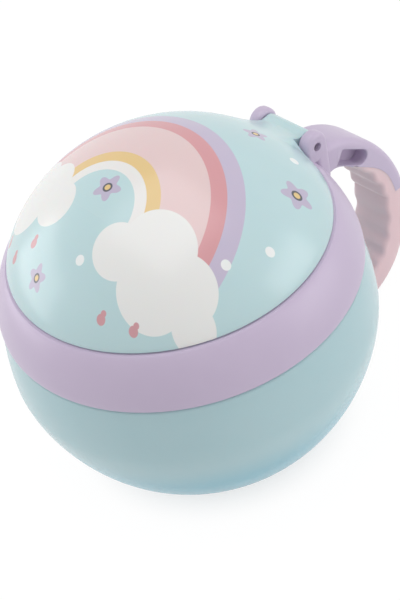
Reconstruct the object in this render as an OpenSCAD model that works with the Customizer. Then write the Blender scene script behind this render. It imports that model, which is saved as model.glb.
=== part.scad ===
// Toddler snack container: a round translucent bowl, a screw collar with a carrying handle,
// a domed flip lid on a pinned hinge, and a soft insert of eight flaps in the mouth.
// The origin is the centre of the foot, on the table. +Y runs to the hinge and the handle.

/* [Bowl] */
// Diameter of the flat foot
foot_d = 53; // [48:0.5:58]
// Widest diameter of the bowl
belly_d = 100; // [90:0.5:110]
// Height of the widest place above the table
belly_z = 35.6; // [32:0.2:39]
// How far the belly stands out past the shoulder, which is just under the collar
belly_out = 1.5; // [0.5:0.1:3]
// Height of the shoulder above the table
shoulder_z = 51.8; // [49:0.2:55]
// Fullness of the belly curve, 2 is an ellipse
belly_curve = 1.56; // [1.4:0.02:1.8]
// Wall of the bowl
bowl_wall = 2; // [1.6:0.1:2.6]
// Thickness of the bottom
base_t = 3; // [2:0.25:5]
// Height of the threaded neck above the shoulder
neck_h = 9.2; // [8.4:0.1:10.4]
// Wall of the neck
neck_wall = 2.2; // [1.6:0.1:2.6]
// Rounding of the shoulder and the rim edges
bowl_round = 1; // [0.6:0.1:1.2]

/* [Thread] */
// Rise of the thread in one full turn
thread_lead = 24; // [20:0.5:28]
// Radial depth of a thread lug
thread_depth = 1.15; // [0.8:0.05:1.3]
// Height of a thread lug at its root
lug_h = 1.8; // [1.4:0.1:2]
// Distance of the thread's upper end below the rim
lug_margin = 0.8; // [0.6:0.1:1.2]
// Running gap between the threads
thread_gap = 0.35; // [0.3:0.05:0.45]
// Play between the threads along the axis
thread_play = 0.35; // [0.3:0.05:0.5]
// Height of the collar's lugs above the collar's lower edge
lug_lift = 0.45; // [0.3:0.05:0.6]

/* [Collar] */
// How far the collar stands out past the bowl's shoulder
band_proud = 0.2; // [0:0.1:0.5]
// Wall of the collar at its lower edge
band_wall = 5.6; // [5:0.1:6.4]
// Fullness of the band's curve, 2 is an ellipse
band_curve = 1.4; // [1.2:0.05:1.8]
// Gap between the collar and the bowl's shoulder
band_gap = 0.5; // [0.4:0.1:0.8]
// How far the collar's deck reaches in past the outside of the neck
deck_in = 4; // [3:0.1:4.6]
// Width of the band's top edge that shows beside the lid
ledge = 0.2; // [0.1:0.05:0.4]
// Thickness of the deck round the mouth
deck_t = 1.8; // [1.5:0.1:2.2]

/* [Lid] */
// How far the lid reaches out past the mouth
lid_over = 5.1; // [4.8:0.1:5.6]
// Height of the dome above the seam
dome_h = 26.4; // [22:0.2:32]
// Fullness of the dome, 1 is a half ellipse
dome_curve = 1.48; // [1:0.02:1.6]
// Wall of the dome
lid_wall = 2.2; // [1.8:0.1:2.6]
// Gap of the seam between lid and collar
seam_gap = 0.4; // [0.3:0.05:0.6]
// Wall of the plug ring under the lid
plug_wall = 2; // [1.6:0.1:2.6]
// Gap between the plug ring and the mouth
plug_gap = 0.6; // [0.5:0.05:0.8]
// Thickness of the plug ring's seat in the dome
plug_seat = 2; // [1.5:0.1:3]
// Gap between that seat and the dome
seat_gap = 0.3; // [0.2:0.05:0.5]
// Height of the seal bead's groove above the plug ring's lower end
bead_up = 0.35; // [0.3:0.05:0.5]
// Height of the lid's seal bead
bead_h = 0.8; // [0.6:0.05:0.9]
// How far the seal bead stands out of the plug ring
bead_out = 0.3; // [0.15:0.05:0.3]

/* [Hinge] */
// Distance of the hinge axis behind the lid's rim
hinge_back = 1.5; // [1.4:0.1:2]
// Height of the hinge axis above the lid's seam
hinge_up = 3; // [2.8:0.1:4]
// Diameter of the hinge knuckles
knuckle_d = 7.8; // [7:0.2:8.4]
// Diameter of the tongue's end round the pin
barrel_d = 5.9; // [5.4:0.1:6.6]
// Width of the lid's tongue
tongue_w = 14.4; // [12:0.2:16]
// Width of one collar knuckle
knuckle_w = 3.8; // [3:0.1:4.5]
// How much the knuckle's web narrows from the hinge axis down to its lower end
web_taper = 0.7; // [0.4:0.1:1]
// Gap beside the tongue and round the knuckles
hinge_gap = 0.3; // [0.25:0.05:0.4]
// Diameter of the hinge pin
pin_d = 2.5; // [2:0.1:3]
// Running clearance of the pin in the tongue, on the radius
pin_fit = 0.07; // [0.03:0.01:0.1]
// How deep the pin's ends lie inside the knuckles
pin_inset = 1.6; // [1:0.1:2]
// Clearance of the lid's rim notch round a knuckle
notch_gap = 0.35; // [0.3:0.05:0.5]

/* [Handle] */
// Distance from the collar to where the handle starts to bend
handle_root = 3.4; // [3:0.1:5]
// Reach of the handle past its bend's centre
handle_reach = 24.7; // [22:0.1:28]
// Thickness of the handle, outside to inside
handle_t = 8.4; // [7.5:0.1:9.5]
// Width of the handle
handle_w = 13.8; // [12:0.2:15]
// Height of the handle's widest place above the table
handle_mid_z = 31; // [28:0.5:34]
// Distance of the handle's top below the collar's deck
handle_drop = 3.6; // [3:0.1:4]
// Gap between the handle's lower end and the table
handle_lift = 0.5; // [0.5:0.1:3]
// Roundness of the handle's upper bend, 2 is an ellipse
handle_top_curve = 1.55; // [1.5:0.05:2]
// Roundness of the handle's lower bend, 2 is an ellipse
handle_low_curve = 2.35; // [2:0.05:2.8]
// Rounding of the handle's outer edges
handle_round = 3; // [2:0.1:3.4]
// Rounding of the handle's inner edges
grip_round = 1.6; // [1:0.1:2]
// Length of the pocket in the handle's sides
pocket_l = 11.2; // [9:0.2:12]
// Height of the pocket
pocket_h = 4.6; // [3.6:0.1:5]
// Depth of the pocket from each side
pocket_depth = 4.4; // [2:0.2:5]

/* [Grip] */
// Width of the web that the grip is moulded round
web_w = 5; // [4:0.2:7]
// Thickness of the grip over the web's inner edge
grip_skin = 2.4; // [1.8:0.1:3]
// Width of the rigid strip that shows on the outside
strip_w = 5.2; // [4:0.2:7]
// Depth of that strip
strip_t = 1.6; // [1.2:0.1:2]
// Gap between the grip's side and the web under the cap
grip_gap = 0.4; // [0.3:0.05:0.6]
// Depth of the finger ribs
rib_depth = 0.6; // [0.3:0.05:0.8]
// Number of the finger ribs
rib_count = 7; // [6:1:10]

/* [Flaps] */
// Width of the ring that shows between the mouth and the straight hinge line of a flap
flap_rim = 7.1; // [6.6:0.1:10]
// Thickness of a flap
flap_t = 1.2; // [0.9:0.1:1.3]
// Slit between two flaps
flap_slit = 0.5; // [0.4:0.05:0.9]
// Gap between a flap's edge and the ring
flap_gap = 0.3; // [0.3:0.05:0.4]
// Thickness of the ring that carries the flaps
ring_t = 1.4; // [1.3:0.05:1.5]
// Gap between the ring that carries the flaps and the collar's wall
ring_gap = 0.1; // [0.05:0.05:0.3]
// Thickness of the neck seal
seal_t = 1.4; // [1:0.1:2]
// Gap above and beside the neck seal
seal_gap = 0.3; // [0.25:0.05:0.4]
// Gap under the neck seal
seal_seat = 0.1; // [0.05:0.01:0.15]

/* [Hidden] */
$fn = 96;
flaps = 8;
// Angle from the dome's top at which the tongue leaves it
tongue_angle = 66;
thread_starts = 4;
curve_steps = 18;
wall_steps = 8;
// How far a lug's root sinks into its wall
lug_root = 0.3;
// How much lower a lug's crest is than its root, on each flank
lug_taper = 0.35;
// How far the hinge's webs sink into what carries them
web_sink = 0.4;
// How far a cut runs past what it cuts
over = 1;
// How far a flat cut runs past a flat face
nudge = 0.01;

foot_r = foot_d / 2;
belly_r = belly_d / 2;
shoulder_r = belly_r - belly_out;
band_r = shoulder_r + band_proud;
// The collar's wall clears the neck's lugs, and its own lugs clear the neck
collar_in_r = band_r - band_wall;
neck_r = collar_in_r - thread_gap - thread_depth;
lug_in_r = neck_r + thread_gap;
mouth_r = neck_r - deck_in;
lid_r = mouth_r + lid_over;

// The neck seal, the flap ring and the deck lie on each other above the rim
rim_z = shoulder_z + neck_h;
ring_z = rim_z + seal_seat + seal_t + seal_gap;
deck_under = ring_z + ring_t;
deck_z = deck_under + deck_t;
collar_z = shoulder_z + band_gap;
band_h = deck_z - collar_z;
seam_z = deck_z + seam_gap;

// The neck's lugs rise from above the collar's lugs to below the rim
lug_z = collar_z + lug_lift + lug_h + thread_play;
lug_angle = 360 * (rim_z - lug_margin - lug_h - lug_z) / thread_lead;

hinge_y = lid_r + hinge_back;
hinge_z = seam_z + hinge_up;
knuckle_r = knuckle_d / 2;
barrel_r = barrel_d / 2;
knuckle_x0 = tongue_w / 2 + hinge_gap;
knuckle_x1 = knuckle_x0 + knuckle_w;
pin_l = 2 * (knuckle_x1 - pin_inset);
// Height at which a knuckle's web leaves the band
web_z = collar_z + band_h / 3;

handle_y = band_r + handle_root;
handle_top = deck_z - handle_drop - handle_mid_z;
handle_low = handle_mid_z - handle_lift;
root_y = band_r + 0.1;
half_w = handle_w / 2;
// Angles along the handle's bend, from the tip below to the root above
tip_angle = -86;
grip_end_angle = -74;
strip_angle = 4;
grip_angle = 48;
// Angle, depth as a share of the thickness, and slope of the pocket
pocket_angle = 62;
pocket_share = 0.38;
pocket_slope = -34;
// Small rounding of the strip's and the sleeve's edges
strip_edge = 0.3;
tip_steps = 10;

seal_in_r = neck_r - neck_wall;
flap_z = ring_z + ring_t / 2;
flap_reach = mouth_r - flap_rim;
flap_edge_r = flap_t / 2;
plug_r = mouth_r - plug_gap;
plug_z = deck_under + seam_gap;
bead_z = plug_z + bead_up;
// The plug ring's seat follows the inside of the dome
seat_r = lid_r - lid_wall - seat_gap;
seat_h = dome_h - lid_wall - seat_gap;
seat_a = acos(pow(plug_seat / seat_h, 1 / dome_curve));

bowl_colour = [0.76, 0.87, 0.88];
lilac = [0.75, 0.70, 0.80];
lid_colour = [0.74, 0.86, 0.86];
pink = [0.84, 0.74, 0.76];
soft_white = [0.93, 0.93, 0.92];
steel = [0.75, 0.76, 0.78];

// Point of a quarter curve that starts dr outside r0 and ends dz away from z0
function bend(r0, z0, dr, dz, curve, a) = [
    r0 + dr * pow(cos(a), 2 / curve),
    z0 + dz * pow(sin(a), 2 / curve)
];

function quarter(r0, z0, dr, dz, curve, steps = curve_steps) = [
    for (i = [0:steps]) bend(r0, z0, dr, dz, curve, 90 * i / steps)
];

function reversed(list) = [for (i = [len(list) - 1:-1:0]) list[i]];

// Wall between the belly and the shoulder, inset from the outside
function upper_wall(inset, top) = [
    for (i = [1:wall_steps]) [
        belly_r - inset - (belly_r - shoulder_r) * pow(i / wall_steps, 2),
        belly_z + (top - belly_z) * i / wall_steps
    ]
];

// Rounded corner of radius r about the centre [x, y], from angle a0 to a1
function corner(x, y, r, a0, a1, steps = 4) = [
    for (i = [0:steps])
        let (a = a0 + (a1 - a0) * i / steps)
        [x + r * cos(a), y + r * sin(a)]
];

// Dome point at angle a from the top, of a dome with rim radius r and height h
function dome_point(r, h, a) = [r * sin(a), seam_z + h * pow(cos(a), dome_curve)];

function dome_line(r, h, steps = 30) = [for (i = [0:steps]) dome_point(r, h, 90 * i / steps)];

// Closed skin over rings that all have the same number of points, each turning
// anticlockwise when seen from the last ring. An end that isn't convex is given in
// convex pieces, as lists of the ring's points.
module skin(rings, ends = []) {
    n = len(rings[0]);
    m = len(rings);
    caps = len(ends) == 0 ? [[for (b = [0:n - 1]) b]] : ends;
    points = [for (ring = rings) for (p = ring) p];
    side = [
        for (a = [0:m - 2]) for (b = [0:n - 1])
            let (p = a * n + b, q = a * n + (b + 1) % n)
            each [[p, q + n, q], [p, p + n, q + n]]
    ];
    far = [
        for (cap = caps)
            [for (i = [0:len(cap) - 1]) (m - 1) * n + cap[(len(cap) - i) % len(cap)]]
    ];
    polyhedron(points, concat(caps, side, far), convexity = 6);
}

// One helical thread lug, between the radii r_root and r_tip, starting at height z
module lug(r_root, r_tip, z, span) {
    steps = 9;
    outward = [[r_root, 0], [r_root, lug_h], [r_tip, lug_h - lug_taper], [r_tip, lug_taper]];
    section = r_tip > r_root ? outward : reversed(outward);
    skin([
        for (i = [0:steps])
            let (a = span * i / steps, rise = z + thread_lead * a / 360)
            [for (p = section) [p[0] * cos(a), p[0] * sin(a), rise + p[1]]]
    ]);
}

module bowl() {
    outer_low = reversed(quarter(foot_r, belly_z, belly_r - foot_r, -belly_z, belly_curve));
    inner_low = quarter(foot_r - bowl_wall, belly_z, belly_r - foot_r, base_t - belly_z, belly_curve);
    shelf_z = shoulder_z - bowl_wall;
    neck_in_r = neck_r - neck_wall;
    shelf_in_r = shoulder_r - bowl_wall - bowl_round;
    slope = 15;
    color(bowl_colour, 0.6) {
        rotate_extrude()
            polygon(concat(
                [[0, 0]],
                outer_low,
                upper_wall(0, shoulder_z - bowl_round),
                corner(shoulder_r - bowl_round, shoulder_z - bowl_round, bowl_round, slope, 90),
                [[neck_r, shoulder_z]],
                corner(neck_r - bowl_round, rim_z - bowl_round, bowl_round, 0, 90),
                corner(neck_in_r + bowl_round, rim_z - bowl_round, bowl_round, 90, 180),
                [[neck_in_r, shelf_z]],
                corner(shelf_in_r, shelf_z - bowl_round, bowl_round, 90, slope),
                reversed(upper_wall(bowl_wall, shelf_z - bowl_round)),
                inner_low,
                [[0, base_t]]
            ));
        for (i = [0:thread_starts - 1])
            rotate([0, 0, i * 360 / thread_starts])
                lug(neck_r - lug_root, neck_r + thread_depth, lug_z, lug_angle);
    }
}

module neck_seal() {
    color(soft_white)
        rotate_extrude()
            translate([seal_in_r, rim_z + seal_seat])
                square([collar_in_r - seal_gap - seal_in_r, seal_t]);
}

// Lilac band outline: curved outside, deck with the mouth on top, straight wall inside
module band_outline() {
    edge = 1;
    top_r = lid_r + ledge;
    polygon(concat(
        [[collar_in_r, collar_z]],
        corner(band_r - edge, collar_z + edge, edge, -90, 0),
        quarter(top_r, collar_z + edge, band_r - top_r, band_h - edge, band_curve),
        [[mouth_r, deck_z], [mouth_r, deck_under], [collar_in_r, deck_under]]
    ));
}

// Places its children along X between x0 and x1, drawn in the YZ plane
module across(x0, x1) {
    translate([x0, 0, 0])
        rotate([90, 0, 90])
            linear_extrude(x1 - x0)
                children();
}

module knuckle() {
    across(knuckle_x0, knuckle_x1) {
        translate([hinge_y, hinge_z])
            circle(knuckle_r);
        polygon([
            [hinge_y - knuckle_r, hinge_z],
            [hinge_y - knuckle_r, deck_under + web_sink],
            [collar_in_r + web_sink, deck_under + web_sink],
            [collar_in_r + web_sink, web_z],
            [hinge_y + knuckle_r - web_taper, web_z],
            [hinge_y + knuckle_r, hinge_z]
        ]);
    }
}

// Block inside the band's curve that the handle's root face meets
module handle_boss() {
    inset = 1;
    y0 = collar_in_r + inset;
    translate([inset - half_w, y0, deck_z - handle_drop - handle_t + inset])
        cube([handle_w - 2 * inset, root_y - y0, handle_t - 2 * inset]);
}

module collar() {
    color(lilac)
        difference() {
            union() {
                rotate_extrude()
                    band_outline();
                knuckle();
                mirror([1, 0, 0])
                    knuckle();
                handle_boss();
                for (i = [0:thread_starts - 1])
                    rotate([0, 0, i * 360 / thread_starts])
                        lug(collar_in_r + lug_root, lug_in_r, collar_z + lug_lift, lug_angle);
            }
            across(-knuckle_x0, knuckle_x0)
                translate([hinge_y, hinge_z])
                    circle(barrel_r + notch_gap);
            across(-knuckle_x1 - over, knuckle_x1 + over)
                translate([hinge_y, hinge_z])
                    circle(pin_d / 2);
        }
}

module hinge_pin() {
    color(steel)
        translate([-pin_l / 2, hinge_y, hinge_z])
            rotate([0, 90, 0])
                cylinder(h = pin_l, r = pin_d / 2);
}

// Point on the handle's bend: f is 0 on the inside and 1 on the outside, a is the angle
function bend_point(f, a) =
    let (
        reach = handle_reach - (1 - f) * handle_t,
        tall = (a >= 0 ? handle_top : handle_low) - (1 - f) * handle_t,
        curve = a >= 0 ? handle_top_curve : handle_low_curve
    )
    [
        handle_y + reach * pow(cos(a), 2 / curve),
        handle_mid_z + tall * sign(a) * pow(abs(sin(a)), 2 / curve)
    ];

// Ring of a section drawn with x across the handle and y from inside to outside, in millimetres
function bend_ring(section, a, shrink = 1) =
    let (
        inside = bend_point(0, a),
        outward = (bend_point(1, a) - inside) / norm(bend_point(1, a) - inside)
    )
    [
        for (p = section)
            let (v = handle_t / 2 + (p[1] - handle_t / 2) * shrink, yz = inside + outward * v)
            [p[0] * shrink, yz[0], yz[1]]
    ];

// Rigid section of half width w: rounded outside, with a foot that the last six points draw
function rigid_section(w, edge, foot) = concat(
    corner(w - edge, handle_t - edge, edge, 0, 90),
    corner(edge - w, handle_t - edge, edge, 90, 180),
    foot
);

// Its end in two pieces: the cap above and the web below
rigid_ends = [[for (i = [0:11]) i, 14, 15], [11, 12, 13, 14]];

// Full section of the handle, with its inner edges cut back
full_section = rigid_section(half_w, handle_round, concat(
    corner(grip_round - half_w, grip_round, grip_round, 180, 270, 2),
    corner(half_w - grip_round, grip_round, grip_round, 270, 360, 2)
));

// Web under a cap or strip of half width w that ends at depth v
function web_foot(w, v) = [
    [-w, v],
    [-web_w / 2, v],
    [-web_w / 2, grip_skin],
    [web_w / 2, grip_skin],
    [web_w / 2, v],
    [w, v]
];

// Rigid section behind the upper grip: a cap as wide as the handle, down to depth v
function cap_section(v) = rigid_section(half_w, handle_round, web_foot(half_w, v));

// Rigid section lower down: a strip that lies flush in the outside
strip_section = rigid_section(strip_w / 2, strip_edge, web_foot(strip_w / 2, handle_t - strip_t));

// Depth at which the grip's side ends, from the inner edge above to the strip below
function side_end(a) =
    let (
        s = min(1, 1.15 * (grip_angle - a) / (grip_angle - strip_angle)),
        start = grip_skin + grip_gap,
        end = handle_t / 2
    )
    start + (end - start) * s * s * (3 - 2 * s);

// Outline of the grip that ends at depth top, with its inner edge cut back by inset
function grip_section(top, edge, inset) = concat(
    corner(half_w - edge, top - edge, edge, 0, 90),
    corner(edge - half_w, top - edge, edge, 90, 180),
    corner(grip_round - half_w, grip_round + inset, grip_round, 180, 270),
    corner(half_w - grip_round, grip_round + inset, grip_round, 270, 360)
);

// Channel in the grip: the web fits its narrow part, and above depth v it has half width w
function channel_section(w, v) = [
    [web_w / 2, grip_skin],
    [web_w / 2, v],
    [w, v],
    [w, handle_t + over],
    [-w, handle_t + over],
    [-w, v],
    [-web_w / 2, v],
    [-web_w / 2, grip_skin]
];

// Its end in two pieces: the wide part above and the narrow part below
channel_ends = [[3, 4, 5, 6, 1, 2], [0, 1, 6, 7]];

function angles(a0, a1, steps) = [for (i = [0:steps]) a0 + (a1 - a0) * i / steps];

// Where the web is drawn: under the strip below, and under the cap above
strip_angles = angles(grip_end_angle + 2, strip_angle - 2, 18);
cap_angles = angles(strip_angle, grip_angle - 1, 12);

// Depth of the finger ribs at an angle of the bend
function rib(a) =
    let (turns = rib_count * (grip_angle - a) / (grip_angle - grip_end_angle))
    rib_depth * (0.5 - 0.5 * cos(360 * turns));

// Outline of the pocket, square towards the collar and round towards the grip
module pocket_outline() {
    translate([-pocket_l / 2, -pocket_h / 2])
        square([pocket_l - pocket_h / 2, pocket_h]);
    translate([pocket_l / 2 - pocket_h / 2, 0])
        circle(pocket_h / 2);
}

module handle() {
    root = bend_ring(full_section, 90);
    pocket_mid = bend_point(pocket_share, pocket_angle);
    color(lilac)
        difference() {
            skin(concat(
                [for (a = strip_angles) bend_ring(strip_section, a)],
                [for (a = cap_angles) bend_ring(cap_section(side_end(a)), a)],
                [for (a = angles(grip_angle, 90, 10)) bend_ring(full_section, a)],
                [[for (p = root) [p[0], root_y, p[2]]]]
            ), rigid_ends);
            for (x = [half_w - pocket_depth, -half_w - over])
                across(x, x + pocket_depth + over)
                    translate(pocket_mid)
                        rotate(pocket_slope)
                            pocket_outline();
        }
}

module grip() {
    color(pink)
        difference() {
            skin(concat(
                [
                    for (i = [1:tip_steps - 1])
                        let (
                            s = cos(90 * i / tip_steps),
                            a = grip_end_angle + (tip_angle - grip_end_angle) * s
                        )
                        bend_ring(grip_section(handle_t, handle_round, 0), a, sqrt(1 - pow(s, 3)))
                ],
                [
                    for (a = angles(grip_end_angle, strip_angle - 2, 26))
                        bend_ring(grip_section(handle_t, handle_round, rib(a)), a)
                ],
                [
                    for (a = angles(strip_angle, grip_angle - 1, 20))
                        bend_ring(grip_section(side_end(a), strip_edge, rib(a)), a)
                ]
            ));
            skin(concat(
                [for (a = strip_angles) bend_ring(channel_section(strip_w / 2, handle_t - strip_t), a)],
                [
                    for (a = concat(cap_angles, [grip_angle]))
                        bend_ring(channel_section(web_w / 2 + grip_gap, side_end(a) - grip_gap / 2), a)
                ]
            ), channel_ends);
        }
}

module flap_ring() {
    hole = (flap_reach + flap_edge_r + flap_gap) / cos(180 / flaps);
    color(soft_white)
        difference() {
            translate([0, 0, ring_z])
                cylinder(h = ring_t, r = collar_in_r - ring_gap);
            translate([0, 0, ring_z - over])
                rotate([0, 0, 180 / flaps])
                    cylinder(h = ring_t + 2 * over, r = hole, $fn = flaps);
        }
}

// Flap number i, a wedge that turns about its straight outer edge
module flap(i) {
    half = 180 / flaps;
    cut = flap_slit / 2 / cos(half);
    inner = flap_slit * 2;
    hinge_l = 2 * (flap_reach * tan(half) - cut);
    color(soft_white)
        rotate([0, 0, i * 360 / flaps]) {
            translate([0, 0, flap_z - flap_t / 2])
                linear_extrude(flap_t)
                    polygon([
                        [inner, inner * tan(half) - cut],
                        [flap_reach, flap_reach * tan(half) - cut],
                        [flap_reach, cut - flap_reach * tan(half)],
                        [inner, cut - inner * tan(half)]
                    ]);
            translate([flap_reach, 0, flap_z])
                rotate([90, 0, 0])
                    cylinder(h = hinge_l, r = flap_edge_r, center = true, $fn = 32);
        }
}

// Solid dome with rim radius r and height h
module dome(r, h) {
    rotate_extrude()
        polygon(concat([[0, seam_z]], dome_line(r, h)));
}

module lid_shell() {
    top = dome_point(lid_r, dome_h, tongue_angle);
    root = top[0] - lid_wall / 2;
    color(lid_colour)
        difference() {
            union() {
                dome(lid_r, dome_h);
                across(-tongue_w / 2, tongue_w / 2) {
                    translate([hinge_y, hinge_z])
                        circle(barrel_r);
                    polygon([
                        [root, seam_z],
                        [root, top[1]],
                        [top[0], top[1]],
                        [hinge_y, hinge_z + barrel_r],
                        [hinge_y, seam_z]
                    ]);
                }
            }
            translate([0, 0, -nudge])
                dome(lid_r - lid_wall, dome_h - lid_wall);
            for (side = [0, 1])
                mirror([side, 0, 0])
                    across(tongue_w / 2, knuckle_x1 + hinge_gap) {
                        translate([hinge_y, hinge_z])
                            circle(knuckle_r + notch_gap);
                        translate([hinge_y - knuckle_r - notch_gap, seam_z - over])
                            square([2 * knuckle_d, hinge_up + over]);
                    }
            across(-tongue_w, tongue_w)
                translate([hinge_y, hinge_z])
                    circle(pin_d / 2 + pin_fit);
        }
}

module lid_plug() {
    color(lid_colour)
        rotate_extrude()
            polygon(concat(
                [
                    [plug_r - plug_wall, plug_z],
                    [plug_r, plug_z],
                    [plug_r, bead_z],
                    [plug_r - bead_h, bead_z],
                    [plug_r - bead_h, bead_z + bead_h],
                    [plug_r, bead_z + bead_h],
                    [plug_r, seam_z]
                ],
                [for (a = angles(90, seat_a, 4)) dome_point(seat_r, seat_h, a)],
                [[plug_r - plug_wall, seam_z + plug_seat]]
            ));
}

module lid_seal() {
    color(soft_white)
        rotate_extrude()
            translate([plug_r - bead_h, bead_z])
                square([bead_h + bead_out, bead_h]);
}

bowl();
neck_seal();
collar();
handle();
grip();
hinge_pin();
flap_ring();
flap(0);  // flap_1
flap(1);  // flap_2
flap(2);  // flap_3
flap(3);  // flap_4
flap(4);  // flap_5
flap(5);  // flap_6
flap(6);  // flap_7
flap(7);  // flap_8
lid_shell();
lid_plug();
lid_seal();
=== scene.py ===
# %% [markdown]
# A snack container for a small child: a see-through bowl, a screw collar with a carrying handle, a
# domed lid on a pinned hinge, and a soft insert of flaps in the mouth. The construction model fixes
# every size. This script gives each piece its finished shape and its plastic, round that model.

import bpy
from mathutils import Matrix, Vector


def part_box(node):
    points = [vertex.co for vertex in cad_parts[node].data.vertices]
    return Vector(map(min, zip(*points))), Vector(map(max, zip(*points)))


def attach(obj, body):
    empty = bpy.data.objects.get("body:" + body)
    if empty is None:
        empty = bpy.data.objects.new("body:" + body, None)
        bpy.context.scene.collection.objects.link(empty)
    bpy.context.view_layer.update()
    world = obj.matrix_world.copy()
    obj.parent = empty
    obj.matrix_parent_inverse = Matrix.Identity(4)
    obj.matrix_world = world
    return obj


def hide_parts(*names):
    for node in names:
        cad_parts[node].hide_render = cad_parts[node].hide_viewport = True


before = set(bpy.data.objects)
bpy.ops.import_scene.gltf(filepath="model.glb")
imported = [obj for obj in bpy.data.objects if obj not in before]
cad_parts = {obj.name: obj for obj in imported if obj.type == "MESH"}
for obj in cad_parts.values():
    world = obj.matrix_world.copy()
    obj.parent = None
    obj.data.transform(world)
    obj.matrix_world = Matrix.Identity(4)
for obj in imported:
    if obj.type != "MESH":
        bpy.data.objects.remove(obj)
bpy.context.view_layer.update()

# %% [markdown]
# All sizes here are written in millimetres, as a maker would say them, and turned to metres only when
# they reach Blender. The sizes that the construction model can tell are read from its boxes: the bowl's
# belly and rim, the deck round the mouth, the dome's top and the hinge.

# %% Sizes
import math

import bpy
from mathutils import Matrix, Vector

MM = 0.001
DECK_T = 1.8
SEAT_OUT = 2.6
LID_OVER = 5.1
SEAM_GAP = 0.4


def low(node):
    """The lowest corner of a construction node, in millimetres."""
    return [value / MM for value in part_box(node)[0]]


def high(node):
    """The highest corner of a construction node, in millimetres."""
    return [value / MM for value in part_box(node)[1]]


belly_r = high("bowl")[0]
rim_z = high("bowl")[2]
collar_z = low("collar")[2]
deck_under = high("flap_ring")[2]
deck_z = deck_under + DECK_T
dome_top = high("lid_shell")[2]
band_r = high("collar")[0]
mouth_r = high("lid_plug")[0] - SEAT_OUT
lid_r = mouth_r + LID_OVER
hinge_y = (low("hinge_pin")[1] + high("hinge_pin")[1]) / 2
hinge_z = (low("hinge_pin")[2] + high("hinge_pin")[2]) / 2
seam_z = deck_z + SEAM_GAP
print("radius of mouth", round(mouth_r, 2), "and lid", round(lid_r, 2))
print("hinge at", round(hinge_y, 2), round(hinge_z, 2))

# %% [markdown]
# The camera stands where the photographer's did: above the front right of the container, looking down
# and a little tilted, so that the handle points to the upper right. Its aim is a point just beside the
# container's middle.

# %% Camera
VIEW_AZIMUTH = 58.0
VIEW_ELEVATION = 42.06
VIEW_ROLL = -15.64
CAMERA_DISTANCE = 420.0
LENS = 96.5
AIM_HEIGHT = 52.25
AIM_RIGHT = 5.32
AIM_UP = -6.91


def view_axes(azimuth, elevation, roll):
    """The camera's right, up and backward directions."""
    a, e, r = (math.radians(angle) for angle in (azimuth, elevation, roll))
    right = Vector((math.cos(a), math.sin(a), 0))
    back = Vector((math.sin(a) * math.cos(e), -math.cos(a) * math.cos(e), math.sin(e)))
    up = back.cross(right)
    return right * math.cos(r) + up * math.sin(r), up * math.cos(r) - right * math.sin(r), back


right, up, back = view_axes(VIEW_AZIMUTH, VIEW_ELEVATION, VIEW_ROLL)
aim = Vector((0, 0, AIM_HEIGHT)) + right * AIM_RIGHT + up * AIM_UP
bpy.ops.object.camera_add()
camera = bpy.context.object
camera.data.lens = LENS
camera.data.clip_start = 0.01
camera.matrix_world = Matrix.Translation((aim + back * CAMERA_DISTANCE) * MM) @ Matrix(
    (right, up, back)
).transposed().to_4x4()
bpy.context.scene.camera = camera
print("camera at", [round(value, 4) for value in camera.location])

# %% [markdown]
# A pack shot like this is lit from all round: a white room, a large soft lamp overhead and one low on
# each side, which leaves the front a little darker than the sides. The floor is white paper. To the
# camera it shines by itself, so that it comes out white. Close to the container its glow is turned
# down. That paints a shadow there, and the paper's real shadow shows through as well.

# %% Colours and shader nodes
def linear(hex_colour):
    """The linear colour of an sRGB hex value."""
    parts = [int(hex_colour[i:i + 2], 16) / 255 for i in (1, 3, 5)]
    return tuple(p / 12.92 if p <= 0.04045 else ((p + 0.055) / 1.055) ** 2.4 for p in parts) + (1.0,)


def add(tree, kind, inputs=None, out=0, **settings):
    """Adds one shader node with its settings, fills or links its inputs, and returns an output of it."""
    new = tree.nodes.new("ShaderNode" + kind)
    for name, value in settings.items():
        setattr(new, name, value)
    for socket, value in (inputs or {}).items():
        if isinstance(value, bpy.types.NodeSocket):
            tree.links.new(value, new.inputs[socket])
        else:
            new.inputs[socket].default_value = value
    return new.outputs[out] if new.outputs else None


def blank(name):
    """An empty material and its node tree."""
    material = bpy.data.materials.new(name)
    material.use_nodes = True
    material.node_tree.nodes.clear()
    return material, material.node_tree


print("white is", linear("#ffffff")[:3], "and a mid grey", [round(v, 3) for v in linear("#808080")[:3]])

# %% White room
ROOM_LIGHT = 0.52
scene = bpy.context.scene
scene.view_settings.view_transform = "Standard"
world = bpy.data.worlds.new("white_room")
scene.world = world
world.use_nodes = True
world.node_tree.nodes.clear()


def seen_directly(tree):
    """One for rays that look at a thing straight, in a mirror or through glass, and else zero."""
    ray = add(tree, "LightPath").node
    seen = ray.outputs["Is Camera Ray"]
    for kind in ("Is Glossy Ray", "Is Transmission Ray"):
        seen = add(tree, "Math", {0: seen, 1: ray.outputs[kind]}, operation="MAXIMUM")
    return seen


seen = seen_directly(world.node_tree)
strength = add(world.node_tree, "MapRange", {"Value": seen, "To Min": ROOM_LIGHT, "To Max": 1.0})
sky = add(world.node_tree, "Background", {"Color": linear("#ffffff"), "Strength": strength})
add(world.node_tree, "OutputWorld", {"Surface": sky})
print("room light", ROOM_LIGHT, "and white where it is seen")

# %% Lamps
def lamp(name, size, power, place, target=(0, 0, 40)):
    """A square soft lamp that faces a target. Places are in millimetres."""
    bpy.ops.object.light_add(type="AREA", location=[value * MM for value in place])
    light = bpy.context.object
    light.name = name
    light.data.size = size * MM
    light.data.energy = power
    aim_line = Vector(target) - Vector(place)
    light.rotation_euler = aim_line.to_track_quat("-Z", "Y").to_euler()
    return light


lamp("overhead_lamp", 700, 2.5, (0, 0, 780))
lamp("right_lamp", 500, 1.6, (560, 480, 120), (0, 0, 30))
lamp("left_lamp", 500, 1.5, (-560, -380, 120), (0, 0, 30))

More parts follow.
